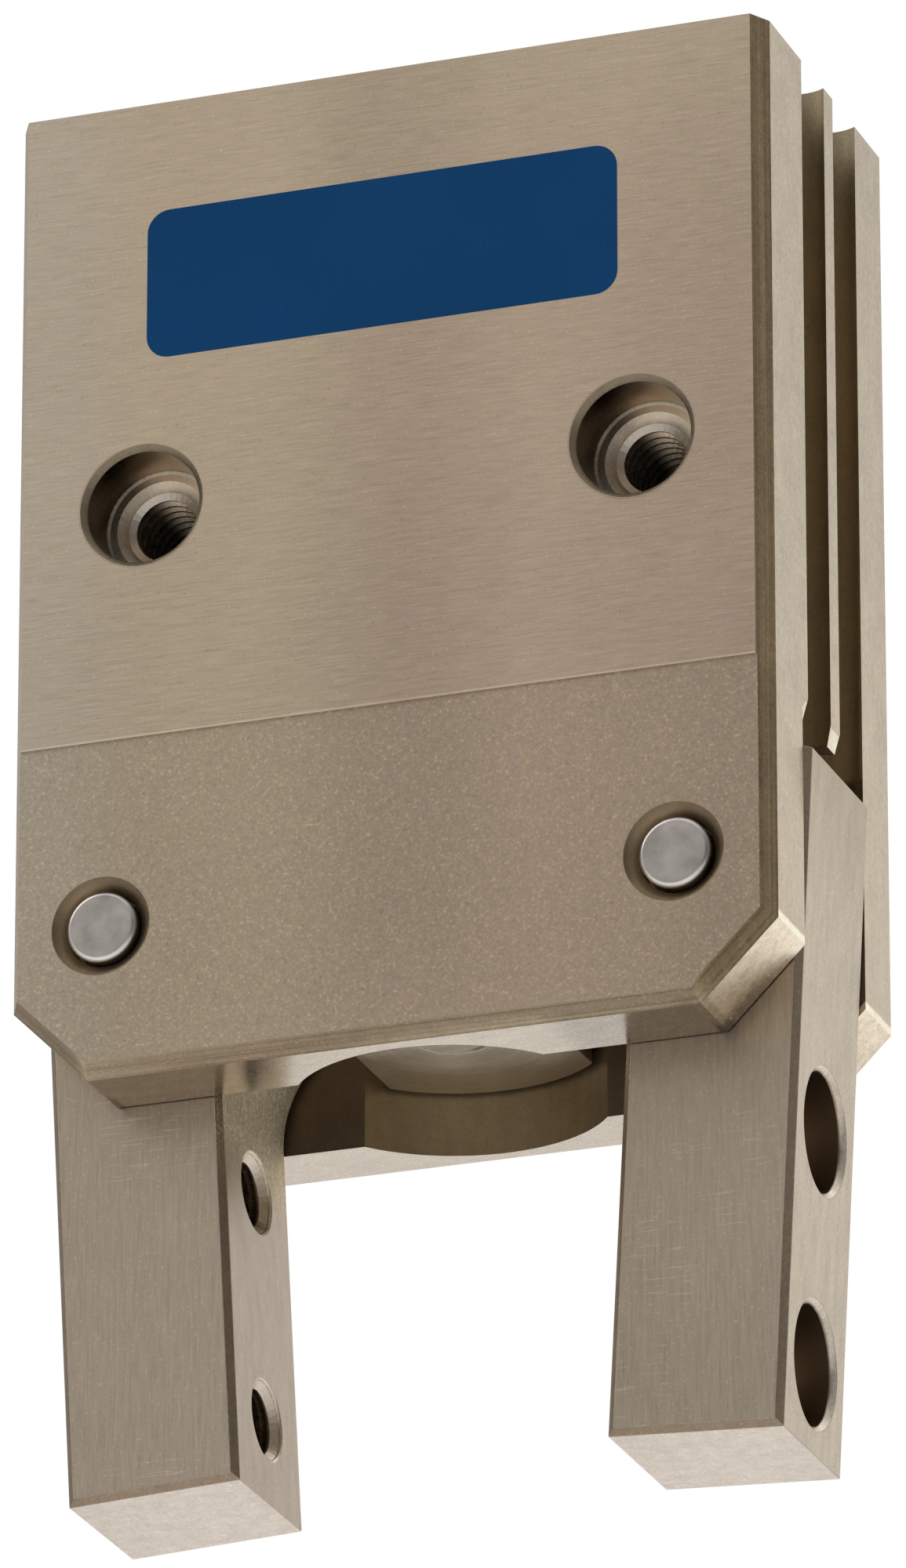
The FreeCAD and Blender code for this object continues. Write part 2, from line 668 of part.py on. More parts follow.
def rod_bush():
    """Plain bearing of the rod."""
    return tube(ROD_R + RUN_GAP, ROD_R + BUSH_WALL - SEAT_GAP, GUIDE_TOP_Z - BUSH_L, GUIDE_TOP_Z)


def rod_seal():
    """Cup seal: its lip touches the rod and opens towards the pressure."""
    inner = ROD_R + LIP_GAP
    outer = ROD_R + ROD_SEAL_WALL - SEAT_GAP
    middle = (inner + outer) / 2
    low = GUIDE_LOW_Z + ROD_SEAL_INSET + SEAT_GAP
    top = GUIDE_LOW_Z + ROD_SEAL_INSET + ROD_SEAL_W - SEAT_GAP
    return turned([
        (inner + SEAL_NOTCH / 2, low),
        (outer, low),
        (outer, top),
        (middle, top - SEAL_NOTCH),
        (inner, top),
    ])


def guide_retaining_ring():
    """Inside circlip with two eared ends."""
    outer = SEAT_R + CIRCLIP_GROOVE - SEAT_GAP
    inner = SEAT_R - CIRCLIP_W
    ring = tube(inner, outer, CIRCLIP_Z, GUIDE_LOW_Z)
    ring = ring.cut(Part.makeBox(SEAT_R * 2, CIRCLIP_GAP, CIRCLIP_T, V(0, -CIRCLIP_GAP / 2, CIRCLIP_Z)))
    for side in (-1, 1):
        ear_y = side * (CIRCLIP_GAP / 2 + CIRCLIP_EAR_R)
        ear_x = (inner ** 2 - ear_y ** 2) ** 0.5
        centre = V(ear_x, ear_y, CIRCLIP_Z)
        ring = ring.fuse(Part.makeCylinder(CIRCLIP_EAR_R, CIRCLIP_T, centre))
        ring = ring.cut(Part.makeCylinder(CIRCLIP_EYE_R, CIRCLIP_T, centre))
    return ring.removeSplitter()


def build():
    """Every piece by name."""
    pin = pivot_pin()
    bush = pivot_bush()
    jaw = base_jaw()
    guide_ring_low = PISTON_LOW_Z + PISTON_LAND
    return {
        "housing": housing(),
        "left_pivot_pin": mirrored(pin),
        "right_pivot_pin": pin,
        "rod_guide": rod_guide(),
        "guide_o_ring": squeezed_ring(SEAT_R - GUIDE_O_RING_DEPTH, SEAT_R, (GUIDE_LOW_Z + GUIDE_TOP_Z) / 2),
        "rod_bush": rod_bush(),
        "rod_seal": rod_seal(),
        "guide_retaining_ring": guide_retaining_ring(),
        "piston": piston(),
        "piston_cap": piston_cap(),
        "magnet_ring": tube(HUB_R + SEAT_GAP, HUB_R + MAGNET_WALL, MAGNET_LOW_Z, CAP_LOW_Z),
        "piston_seal": piston_seal(),
        "piston_guide_ring": tube(
            PISTON_R - GUIDE_RING_DEPTH + SEAT_GAP, CYLINDER_R - LIP_GAP,
            guide_ring_low + SEAT_GAP, guide_ring_low + GUIDE_RING_W - SEAT_GAP,
        ),
        "upper_bumper": bumper(PISTON_TOP_Z, 1),
        "lower_bumper": bumper(PISTON_LOW_Z, -1),
        "piston_screw": piston_screw(),
        "piston_rod": piston_rod(),
        "rod_o_ring": squeezed_ring(SPIGOT_R - ROD_O_RING_DEPTH, SPIGOT_R + SEAT_GAP, ROD_O_RING_Z),
        "jaw_driver": jaw_driver(),
        "driver_screw": driver_screw(),
        "left_base_jaw": mirrored(jaw),
        "right_base_jaw": jaw,
        "left_pivot_bush": mirrored(bush),
        "right_pivot_bush": bush,
    }


def main():
    os.makedirs("parts", exist_ok=True)
    for name, shape in build().items():
        shape.exportStep(f"parts/{name}.step")
        print(f"{name}: {len(shape.Solids)} solid, {shape.Volume:.2f} mm3, valid {shape.isValid()}")
    swing = radians(CLOSED_DEG + OPEN_DEG)
    print(f"stroke {STROKE:.4f} mm, ratio {swing / STROKE * 1000:.4f} rad/m")


main()
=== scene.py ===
import json
from math import cos, pi, radians, sin
from types import SimpleNamespace

import bpy
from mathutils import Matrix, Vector

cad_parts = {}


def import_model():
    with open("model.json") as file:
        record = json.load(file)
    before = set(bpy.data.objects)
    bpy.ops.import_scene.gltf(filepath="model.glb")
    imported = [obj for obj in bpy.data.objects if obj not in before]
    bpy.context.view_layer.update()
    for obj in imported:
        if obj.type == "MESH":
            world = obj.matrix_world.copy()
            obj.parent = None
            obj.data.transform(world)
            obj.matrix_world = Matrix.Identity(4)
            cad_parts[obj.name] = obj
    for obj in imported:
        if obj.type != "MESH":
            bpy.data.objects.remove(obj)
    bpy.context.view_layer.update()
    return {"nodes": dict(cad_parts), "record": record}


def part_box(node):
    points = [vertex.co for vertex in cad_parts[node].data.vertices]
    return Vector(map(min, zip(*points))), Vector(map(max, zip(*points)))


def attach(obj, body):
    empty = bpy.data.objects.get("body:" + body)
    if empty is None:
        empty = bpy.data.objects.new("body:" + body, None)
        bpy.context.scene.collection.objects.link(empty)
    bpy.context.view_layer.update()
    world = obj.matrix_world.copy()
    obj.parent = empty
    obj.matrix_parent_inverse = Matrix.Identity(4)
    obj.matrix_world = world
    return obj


# Looks of the angular gripper, in metres, in the frame of the CAD model
# -Y is the front, and -Z points to the jaws
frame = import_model()
nodes = frame["nodes"]
mounts = {mount["name"]: mount for mount in frame["record"]["mounts"]}

MM = 0.001

# Housing
HOUSING_LOW, HOUSING_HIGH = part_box("housing")
FRONT_Y = HOUSING_LOW.y
STEP_Z = -34.5 * MM                 # the lower part of the front and rear faces is set back
# the step line is a painted highlight
STEP_LINE = 0.1 * MM                # height of the bright line above the step
SLOT_Z = -35.8 * MM                 # ceiling of the cross slot
CORNER_CUT = 4 * MM
BEVEL_DEPTH = 1.2 * MM
PIN_RECESS_R = 2.6 * MM
PIVOT = sum(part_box("right_pivot_pin"), Vector()) / 2

# Jaws
JAW_HALF_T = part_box("right_base_jaw")[1].y
JAW_END_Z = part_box("right_base_jaw")[0].z
ROOT_END_Z = PIVOT.z - 7.8 * MM     # the finger holes lie below this

# Screw holes
HEAD_BORE_R = 3.0 * MM
HEAD_BORE_RIM = 0.3 * MM
HEAD_BORE_DEPTH = 3.1 * MM
HEAD_BORE_SINK = 0.5 * MM           # countersink between counterbore and thread
HEAD_BORE_SINK_DEPTH = 0.3 * MM
M4_R, M4_PITCH = 2.0 * MM, 0.7 * MM
M5_R, M5_PITCH = 2.5 * MM, 0.8 * MM
TOP_DEPTH = 8 * MM
PORT_DEPTH = 6 * MM
MOUNT_X = mounts["through_holes"]["dims"]["spacing_x_mm"] / 2 * MM
MOUNT_Z = mounts["through_holes"]["pos_m"][2]
TOP_X = mounts["top_threads"]["dims"]["spacing_x_mm"] / 2 * MM
PORT_Z = mounts["air_ports"]["pos_m"][2]
PORT_UP = mounts["air_ports"]["dims"]["spacing_y_mm"] / 2 * MM

# Thread ridges
THREAD_RIM = 0.15 * MM              # bevel at the mouth of a thread
THREAD_LAND = 0.1 * MM              # behind the bevel at the start of a thread
THREAD_SINK = 0.02 * MM             # how far a ridge is let into the wall
THREAD_STEPS = 36                   # facets in one turn
THREAD_HEIGHT = 0.5                 # height and half widths of a ridge, as shares of the pitch
THREAD_FOOT = 0.44
THREAD_CREST = 0.13

# Blank label
LABEL_X = (-12.8 * MM, 12.3 * MM)
LABEL_Z = (-14.1 * MM, -6.0 * MM)
LABEL_CORNER = 1.2 * MM
LABEL_CORNER_STEPS = 8
LABEL_T = 0.012 * MM
LABEL_SINK = 0.01 * MM

# Edges
EDGE_BREAK = 0.07 * MM
EDGE_STEPS = 2
EDGE_ANGLE = radians(28)
FLAT_ANGLE = radians(0.5)           # facets that differ by less are one flat face
WELD = 0.001 * MM

# Materials: depth of the fine relief, roughness of the coating, soft edge of a speck
MILLED_RELIEF = 0.004 * MM
TURNED_RELIEF = 0.003 * MM
MOULDED_RELIEF = 0.006 * MM
PRINTED_RELIEF = 0.002 * MM
FLOOR_RELIEF = 0.01 * MM
COATING_ROUGHNESS = 0.42
SPECK_EDGE = 0.12

# Camera, fitted to the photograph
CAMERA_AT = Vector((0.20326, -0.56140, -0.27151))
CAMERA_AZIMUTH = radians(19.905)
CAMERA_ELEVATION = radians(-21.603)
CAMERA_LENS = 294.25
CAMERA_CLIP = (0.01, 100)

# Studio: floor, lamp and the brightness of the surroundings by direction
FLOOR_Z = -0.75
FLOOR_HALF = 6.0
FLOOR_FADE = (0.43, 1.20)           # behind the gripper, where the floor's mirror image turns white
FLOOR_WHITE = 0.7                   # share of plain white where the floor is seen or mirrored
KEY_AT = Vector((-1.0, -0.4, 1.0))
KEY_TARGET = Vector((0, 0, -0.036))
KEY_SIZE = 0.8
KEY_POWER = 4.0
DIM = 0.33                          # to the left and right
BEHIND = 1.0
AHEAD = 0.75                        # in front, on the left
RIGHT_AHEAD = 0.10
ABOVE = 0.8

# Part of a direction along an axis: a brightness begins at the first value and is full at the second
TO_BACK = (0.25, 0.60)
TO_FRONT = (-0.25, -0.60)
TO_LEFT = (0.45, -0.05)
TO_TOP = (0.60, 0.95)

# Part of a surface's direction along an axis: a region begins at the first value and is full at the second
SQUARE = (0.90, 0.98)
MOSTLY = (0.60, 0.90)
SLANTED = (0.62, 0.80)              # lowest and highest at about 45 degrees
BEVELLED = (0.42, 0.54)             # lowest and highest on the housing's bevels

# Painted shade in the mounting holes: how fast it fades towards the right and up, and from where to where
SHADE_LEAN = (0.27, 0.26)
SHADE_FADE = (0.75, 0.05)


class Nodes:
    """A node tree, built with short calls."""

    def __init__(self, tree):
        self.tree = tree

    def put(self, socket, value):
        if isinstance(value, bpy.types.NodeSocket):
            self.tree.links.new(value, socket)
        else:
            socket.default_value = value

    def fill(self, kind, values, **settings):
        """New node of a kind, with its first inputs filled."""
        made = self.tree.nodes.new(kind)
        for name, setting in settings.items():
            setattr(made, name, setting)
        for socket, value in zip(made.inputs, values):
            self.put(socket, value)
        return made

    def math(self, operation, *values):
        return self.fill("ShaderNodeMath", values, operation=operation).outputs[0]

    def chain(self, operation, values):
        total = values[0]
        for value in values[1:]:
            total = self.math(operation, total, value)
        return total

    def add(self, *values):
        return self.chain("ADD", values)

    def times(self, *values):
        return self.chain("MULTIPLY", values)

    def most(self, *values):
        return self.chain("MAXIMUM", values)

    def rest(self, share):
        return self.math("SUBTRACT", 1.0, share)

    def vector(self, operation, *values):
        return self.fill("ShaderNodeVectorMath", values, operation=operation).outputs["Vector"]

    def split(self, vector):
        return self.fill("ShaderNodeSeparateXYZ", (vector,)).outputs

    def join(self, x, y, z):
        return self.fill("ShaderNodeCombineXYZ", (x, y, z)).outputs[0]

    def ramp(self, value, low, high):
        """Smooth step from 0 at low to 1 at high."""
        inputs = (value, low, high)
        return self.fill("ShaderNodeMapRange", inputs, interpolation_type="SMOOTHSTEP").outputs[0]

    def between(self, value, low, high, soft):
        """1 between low and high, 0 outside."""
        return self.times(self.ramp(value, low - soft, low), self.ramp(value, high + soft, high))

    def away(self, first, second, at):
        """Distance from a point, by two of the coordinates."""
        squares = [self.math("POWER", self.math("SUBTRACT", value, middle), 2.0)
                   for value, middle in zip((first, second), at)]
        return self.math("SQRT", self.add(*squares))


class Material(Nodes):
    """Node material with places in millimetres of the CAD frame and the direction of the surface."""

    def __init__(self, name, metallic=1.0):
        self.made = bpy.data.materials.new(name)
        self.made.use_nodes = True
        super().__init__(self.made.node_tree)
        self.shader = self.tree.nodes["Principled BSDF"]
        self.shader.inputs["Metallic"].default_value = metallic
        coords = self.tree.nodes.new("ShaderNodeTexCoord")
        self.place = self.vector("MULTIPLY", coords.outputs["Object"], (1 / MM,) * 3)
        self.x, self.y, self.z = self.split(self.place)
        self.out_x, self.out_y, _ = self.split(self.vector("ABSOLUTE", self.place))
        facing = self.vector("ABSOLUTE", coords.outputs["Normal"])
        self.facing_x, self.facing_y, self.facing_z = self.split(facing)

    def beside(self, middle):
        """How far to the right of a place at this X, or of its mirror image on the left half."""
        return self.math("SUBTRACT", self.x, self.times(self.math("SIGN", self.x), middle / MM))

    def from_axis(self, x, z):
        """Distance from the axis along Y at this place, or from its mirror image on the left half."""
        return self.away(self.out_x, self.z, (x / MM, z / MM))

    def mount_shade(self):
        """Painted shade: 1 on the lower left of each mounting hole, 0 at its upper right."""
        right, up = self.beside(MOUNT_X), self.add(self.z, -MOUNT_Z / MM)
        lean = self.add(self.times(right, SHADE_LEAN[0]), self.times(up, SHADE_LEAN[1]))
        return self.ramp(lean, *SHADE_FADE)

    def noise(self, per_mm, detail=2.0, place=None):
        """Noise about zero, with so many features a millimetre, the same all ways or along X, Y and Z."""
        scale = per_mm if isinstance(per_mm, tuple) else (per_mm,) * 3
        made = self.tree.nodes.new("ShaderNodeTexNoise")
        self.put(made.inputs["Vector"], self.vector("MULTIPLY", place or self.place, scale))
        made.inputs["Scale"].default_value = 1.0
        made.inputs["Detail"].default_value = detail
        return self.math("SUBTRACT", made.outputs["Fac"], 0.5)

    def specks(self, per_mm, least):
        """Scattered points, 1 at their middle."""
        return self.ramp(self.noise(per_mm, 1.0), least, least + SPECK_EDGE)

    def mix(self, share, first, second):
        made = self.tree.nodes.new("ShaderNodeMix")
        made.data_type = "RGBA"
        self.put(made.inputs["Factor"], share)
        for socket, colour in ((made.inputs[6], first), (made.inputs[7], second)):
            self.put(socket, colour if isinstance(colour, bpy.types.NodeSocket) else (*colour, 1.0))
        return made.outputs[2]

    def layers(self, colour, *coats):
        """A colour under coats of a share and a colour each, the last on top."""
        for share, coat in coats:
            colour = self.mix(share, colour, coat)
        return colour

    def tint(self, colour, share, factors):
        """A colour, multiplied by red, green and blue factors on a share of the surface."""
        return self.mix(share, colour, self.vector("MULTIPLY", colour, factors))

    def finish(self, colour, tone, roughness, height, depth):
        """Colour times tone, roughness, and a bump of the given depth in metres."""
        scaled = self.tree.nodes.new("ShaderNodeVectorMath")
        scaled.operation = "SCALE"
        self.put(scaled.inputs["Vector"], colour)
        self.put(scaled.inputs["Scale"], tone)
        self.put(self.shader.inputs["Base Color"], scaled.outputs["Vector"])
        self.put(self.shader.inputs["Roughness"], roughness)
        bump = self.tree.nodes.new("ShaderNodeBump")
        bump.inputs["Strength"].default_value = 1.0
        bump.inputs["Distance"].default_value = depth
        self.put(bump.inputs["Height"], height)
        self.put(self.shader.inputs["Normal"], bump.outputs[0])
        return self.made


# Material of the housing. A region is a share, 1 on its surfaces and 0 elsewhere, with a soft edge
def outer_regions(m, on):
    """Outer faces of the housing."""
    half_w, half_t = HOUSING_HIGH.x / MM, HOUSING_HIGH.y / MM
    low_z, top_z = HOUSING_LOW.z / MM, HOUSING_HIGH.z / MM
    step_z, corner = STEP_Z / MM, CORNER_CUT / MM
    bevel_y = half_t - BEVEL_DEPTH / MM
    straight_w = half_w - corner
    cut_at = half_w - low_z - corner
    below = m.ramp(m.z, step_z + 0.02, step_z - 0.02)
    on.outside = m.ramp(m.out_y, bevel_y - 0.2, bevel_y - 0.1)
    on.face = m.times(m.ramp(m.facing_y, *SQUARE), m.ramp(m.out_y, half_t - 0.5, half_t - 0.3))
    on.brushed = m.times(on.face, m.rest(below))
    on.blasted = m.times(on.face, below)
    # painted highlight: a thin bright line on the front just above the step
    on.step_line = m.times(on.face, m.between(m.z, step_z, step_z + STEP_LINE / MM, 0.03))
    on.bevel = m.times(m.between(m.facing_y, *BEVELLED, 0.06), on.outside)
    on.low_bevel = m.times(
        on.bevel,
        m.ramp(m.z, low_z + 1.4, low_z + 1.0),
        m.ramp(m.out_x, straight_w + 0.4, straight_w - 0.2),
    )
    on.side = m.times(m.ramp(m.facing_x, *MOSTLY), m.ramp(m.out_x, half_w - 0.7, half_w - 0.5))
    on.under = m.times(m.ramp(m.facing_z, *MOSTLY), m.ramp(m.z, low_z + 0.4, low_z + 0.2))
    on.top = m.times(m.ramp(m.facing_z, *MOSTLY), m.ramp(m.z, top_z - 0.4, top_z - 0.2))
    on.cut = m.ramp(m.math("SUBTRACT", m.out_x, m.z), cut_at - 0.5, cut_at - 0.3)
    on.slot_edge = m.times(on.side, m.between(m.facing_z, 0.15, 0.30, 0.05), m.rest(on.cut))


def hole_regions(m, on):
    """Recesses of the pins with painted light beside each pin, and the mounting holes with their rim, wall,
    seat and painted shade.
    """
    recess_r, bore_r = PIN_RECESS_R / MM, HEAD_BORE_R / MM
    rim_r = bore_r + HEAD_BORE_RIM / MM
    seat_y = (FRONT_Y + HEAD_BORE_DEPTH) / MM
    from_pin = m.from_axis(PIVOT.x, PIVOT.z)
    from_screw = m.from_axis(MOUNT_X, MOUNT_Z)
    on.recess = m.ramp(from_pin, recess_r + 0.10, recess_r + 0.02)
    # painted light in each pin recess, on its left next to the pin
    on.pin_gap = m.times(
        on.recess,
        m.ramp(from_pin, recess_r, recess_r - 0.7),
        m.ramp(m.beside(PIVOT.x), 0.8, -0.8),
    )
    on.screw_hole = m.ramp(from_screw, rim_r + 0.10, rim_r + 0.02)
    on.rim = m.times(on.screw_hole, m.ramp(from_screw, bore_r - 0.05, bore_r + 0.05))
    on.wall = m.times(on.screw_hole, m.ramp(m.facing_y, 0.40, 0.20))
    seat = m.times(on.screw_hole, m.ramp(m.y, seat_y - 0.25, seat_y - 0.15), m.ramp(m.facing_y, 0.4, 0.6))
    # painted highlight: the thin bright line at the foot of each counterbore
    on.corner = m.times(seat, m.ramp(from_screw, bore_r - 0.15, bore_r - 0.09))
    on.cone = m.times(seat, m.ramp(m.facing_y, 0.97, 0.90), m.rest(on.corner))
    on.ring = m.times(seat, m.rest(on.cone), m.rest(on.corner))
    on.mount_shade = m.mount_shade()
    # painted shade on the lower left of each mounting hole: half as much on the seat, none on the rim and
    # cone
    takes_shade = m.times(m.rest(on.rim), m.rest(on.cone), m.rest(m.times(seat, 0.5)))
    on.oily = m.times(on.screw_hole, takes_shade, on.mount_shade)


def inner_regions(m, on):
    """The walls of the cross slot, the sensor grooves, and the skin, which is all that lies outside."""
    half_w, half_t, slot_z = HOUSING_HIGH.x / MM, HOUSING_HIGH.y / MM, SLOT_Z / MM
    in_slot = m.times(m.ramp(m.z, slot_z + 0.3, slot_z - 0.1), m.ramp(m.out_y, half_t - 3.0, half_t - 4.0))
    at_right = m.ramp(m.x, half_w - 4.0, half_w - 3.0)
    holes = m.most(on.recess, on.screw_hole)
    on.skin = m.times(m.most(on.outside, on.side, on.under, on.cut, on.top), m.rest(holes))
    on.slot_wall = m.times(m.ramp(m.facing_y, *SQUARE), in_slot)
    on.groove = m.times(at_right, m.ramp(m.facing_z, 0.3, 0.1), m.rest(in_slot), m.rest(on.skin))


def housing_marks(m):
    """What the tools and the coating leave on the housing's surfaces."""
    return SimpleNamespace(
        brushing=m.add(m.noise((0.60, 1.0, 10.0)), m.times(m.noise((0.12, 1.0, 3.5)), 0.35)),
        grain=m.add(m.noise(6.5), m.times(m.noise(2.0), 0.3)),
        light_specks=m.specks(6.5, 0.12),
        dark_specks=m.specks(4.1, 0.14),
        milling=m.noise((1.2, 2.2, 0.3), 3.0),
        lines=m.noise((0.04, 4.5, 0.04), 1.0),
        cloud=m.noise((0.10, 0.10, 0.04)),
        blotch=m.noise(0.45),
        flecks=m.noise(2.6, 3.0),
    )


def housing_texture(m, on, marks):
    """How much lighter or darker the marks make each surface of the housing."""
    specks = m.add(m.times(marks.light_specks, 0.21), m.times(marks.dark_specks, -0.12))
    mottle = m.add(m.times(marks.blotch, 0.35), m.times(marks.flecks, 0.45))
    return m.add(
        m.times(on.brushed, marks.brushing, 0.42),
        m.times(on.blasted, marks.grain, 0.58),
        m.times(m.rest(on.face), m.add(m.times(marks.milling, 0.30), m.times(marks.grain, 0.45))),
        m.times(on.side, marks.milling, -0.10),
        m.times(m.most(on.cut, on.side), mottle),
        m.times(on.bevel, marks.lines, 1.2),
        m.times(on.groove, marks.lines, 0.6),
        m.times(m.rest(on.skin), marks.blotch, 0.35),
        m.times(on.skin, specks),
        m.times(marks.cloud, 0.20),
    )


def housing_shade(m, on):
    """Soft light and dark on the housing by place, as in the photograph."""
    low_z = HOUSING_LOW.z / MM
    straight_w = (HOUSING_HIGH.x - CORNER_CUT) / MM
    # every term below is painted light or shade, including the step's highlight, the jaw's shadow at the
    # foot of the corner cut, the light in the pin recesses and the shade in the mounting holes
    middle = m.times(m.ramp(m.x, -7.0, 1.0), m.ramp(m.x, 8.0, 1.0), m.ramp(m.z, -56.0, -44.0))
    right_below_top = m.times(m.ramp(m.x, 8.0, 18.0), m.ramp(m.z, 4.0, -14.0))
    right_at_step = m.times(m.ramp(m.x, 10.0, 18.0), m.between(m.z, -38.0, -29.0, 7.0))
    above_step = m.ramp(m.z, -14.0, -33.0)
    low_side = m.ramp(m.z, -18.0, -42.0)
    # painted shade on the right end of the underside
    right_under = m.ramp(m.x, 7.0, 9.5)
    # painted shadow of the jaw at the foot of the corner cut
    cut_foot = m.times(m.ramp(m.z, low_z + 3.5, low_z + 0.8), m.ramp(m.out_y, 6.6, 5.2))
    cut_rear = m.ramp(m.y, 4.0, 6.0)
    low_corner = m.times(m.ramp(m.out_x, straight_w, straight_w + 1.0), m.ramp(m.z, -33.0, -37.0))
    left = m.ramp(m.x, 0.0, -8.0)
    groove_top = m.ramp(m.z, -7.0, -2.0)
    # painted light on the upper right of each mounting hole's wall, seat ring and cone
    lit = m.add(m.times(on.wall, 0.30), on.ring, m.times(on.cone, 0.40))
    return m.add(
        m.times(on.face, middle, -0.12),
        m.times(on.face, right_below_top, -0.13),
        m.times(on.face, right_at_step, 0.06),
        m.times(on.brushed, above_step, -0.07),
        m.times(on.step_line, 0.25),
        m.times(on.side, low_side, 0.20),
        m.times(on.under, right_under, -0.27),
        m.times(on.cut, cut_foot, -0.50),
        m.times(on.cut, cut_rear, -0.10),
        m.times(on.bevel, low_corner, -0.26),
        m.times(on.low_bevel, left, 0.16),
        m.times(on.groove, groove_top, -0.25),
        m.times(on.pin_gap, 1.3),
        # painted shade in the mounting holes, with painted shade on the cone's lower left
        m.times(on.oily, -0.88),
        m.times(on.cone, on.mount_shade, -0.30),
        m.times(lit, m.rest(on.mount_shade)),
    )


def housing_colour(m, on):
    """Warm grey coating, with painted shade in the hollows, on the bevels and on the walls of the slot,
    painted light on the corner cut, a painted highlight at the foot of each counterbore, and paler on the
    edges of the slot.
    """
    colour = m.layers(
        # painted shade: the darker base colour of the bores, slot and grooves, under the skin's colour
        (0.390, 0.310, 0.195),
        (on.skin, (0.620, 0.545, 0.450)),
        # painted shade: darker in the pin recesses and the counterbores
        (on.recess, (0.250, 0.188, 0.118)),
        (on.screw_hole, (0.385, 0.312, 0.232)),
        (on.rim, (0.345, 0.278, 0.192)),
        (on.cone, (0.720, 0.600, 0.465)),
        # painted highlight at the foot of each counterbore
        (on.corner, (1.000, 0.890, 0.730)),
        # painted shade on the walls of the cross slot
        (on.slot_wall, (0.172, 0.128, 0.092)),
        (on.side, (0.498, 0.418, 0.315)),
        (on.slot_edge, (0.740, 0.660, 0.530)),
        # painted light: the corner cut is made much paler
        (on.cut, (0.970, 0.830, 0.660)),
        (on.under, (0.615, 0.532, 0.440)),
        (on.brushed, (0.512, 0.412, 0.302)),
        (on.blasted, (0.432, 0.348, 0.252)),
        # painted shade on the bevels, less on the bottom bevel
        (on.bevel, (0.303, 0.222, 0.130)),
        (on.low_bevel, (0.390, 0.304, 0.208)),
    )
    pale = m.times(on.face, m.ramp(m.x, -12.0, -18.0))
    rosy = m.times(on.face, m.ramp(m.x, -5.0, 1.0), m.ramp(m.z, 2.0, -18.0))
    olive = m.times(on.skin, m.ramp(m.noise(2.0), 0.0, 0.2))
    colour = m.tint(colour, pale, (1.02, 1.06, 1.13))
    colour = m.tint(colour, rosy, (1.00, 0.962, 0.985))
    return m.tint(colour, olive, (0.98, 1.00, 0.92))


def housing_metal():
    """Brushed above the step and blasted below it, with mottled sides, lined bevels and dull bores."""
    m = Material("housing_metal")
    on = SimpleNamespace()
    for regions in (outer_regions, hole_regions, inner_regions):
        regions(m, on)
    marks = housing_marks(m)
    tone = m.add(1.0, housing_texture(m, on, marks), housing_shade(m, on))
    height = m.add(
        m.times(on.brushed, marks.brushing),
        m.times(m.rest(on.brushed), marks.grain),
        m.times(on.bevel, marks.lines),
    )
    roughness = m.add(
        COATING_ROUGHNESS,
        m.times(on.blasted, 0.08),
        m.times(m.rest(on.skin), 0.06),
        m.times(on.wall, -0.28),
        m.times(on.under, -0.19),
        m.times(on.corner, 0.25),
        m.times(marks.grain, 0.15),
    )
    return m.finish(housing_colour(m, on), tone, roughness, height, MILLED_RELIEF)


# Material of the jaws
BARE_METAL = (0.715, 0.620, 0.515)   # cut after the coating


def jaw_regions(m):
    """Faces of a jaw, its finger holes and its hollow root."""
    half_t, end_z, root_z = JAW_HALF_T / MM, JAW_END_Z / MM, ROOT_END_Z / MM
    pivot_x, pivot_z, bore_r = PIVOT.x / MM, PIVOT.z / MM, HEAD_BORE_R / MM
    on = SimpleNamespace()
    on.face = m.times(m.ramp(m.facing_y, *SQUARE), m.ramp(m.out_y, half_t - 0.2, half_t - 0.1))
    on.edge = m.times(m.between(m.facing_y, *SLANTED, 0.08), m.ramp(m.out_y, half_t - 0.6, half_t - 0.4))
    on.end = m.times(m.ramp(m.facing_z, 0.90, 0.97), m.ramp(m.z, end_z + 1.2, end_z + 1.0))
    on.side = m.ramp(m.facing_x, 0.93, 0.98)
    on.beside_pin = m.times(on.side, m.ramp(m.z, pivot_z - 3.0, pivot_z + 9.0))
    limb = m.between(m.z, end_z + 0.8, root_z, 0.2)
    near_bore = m.times(limb, m.ramp(m.out_y, bore_r + 0.4, bore_r + 0.3))
    on.bore = m.times(near_bore, m.ramp(m.facing_x, 0.60, 0.40))
    on.rim = m.times(near_bore, m.between(m.facing_x, *SLANTED, 0.06))
    inward = m.ramp(m.out_x, pivot_x - 1.0, pivot_x - 2.0)
    on.inner = m.times(on.side, inward)
    on.root = m.times(m.ramp(m.z, root_z - 5.0, root_z), inward, m.rest(on.face))
    return on


def jaw_colour(m, on):
    """The housing's coating, a little greyer, with painted shade on the edges, painted light on the hollow
    root, and bare rims at the finger holes.
    """
    return m.layers(
        (0.470, 0.400, 0.315),
        (on.face, (0.395, 0.325, 0.248)),
        (on.side, (0.555, 0.470, 0.361)),
        (on.beside_pin, (0.470, 0.382, 0.275)),
        (on.inner, (0.435, 0.360, 0.276)),
        # painted light on the hollow root
        (on.root, (0.760, 0.655, 0.475)),
        (on.end, (0.775, 0.683, 0.588)),
        # painted shade on the edges
        (on.edge, (0.390, 0.300, 0.212)),
        (on.bore, (0.360, 0.270, 0.180)),
        (on.rim, BARE_METAL),
    )


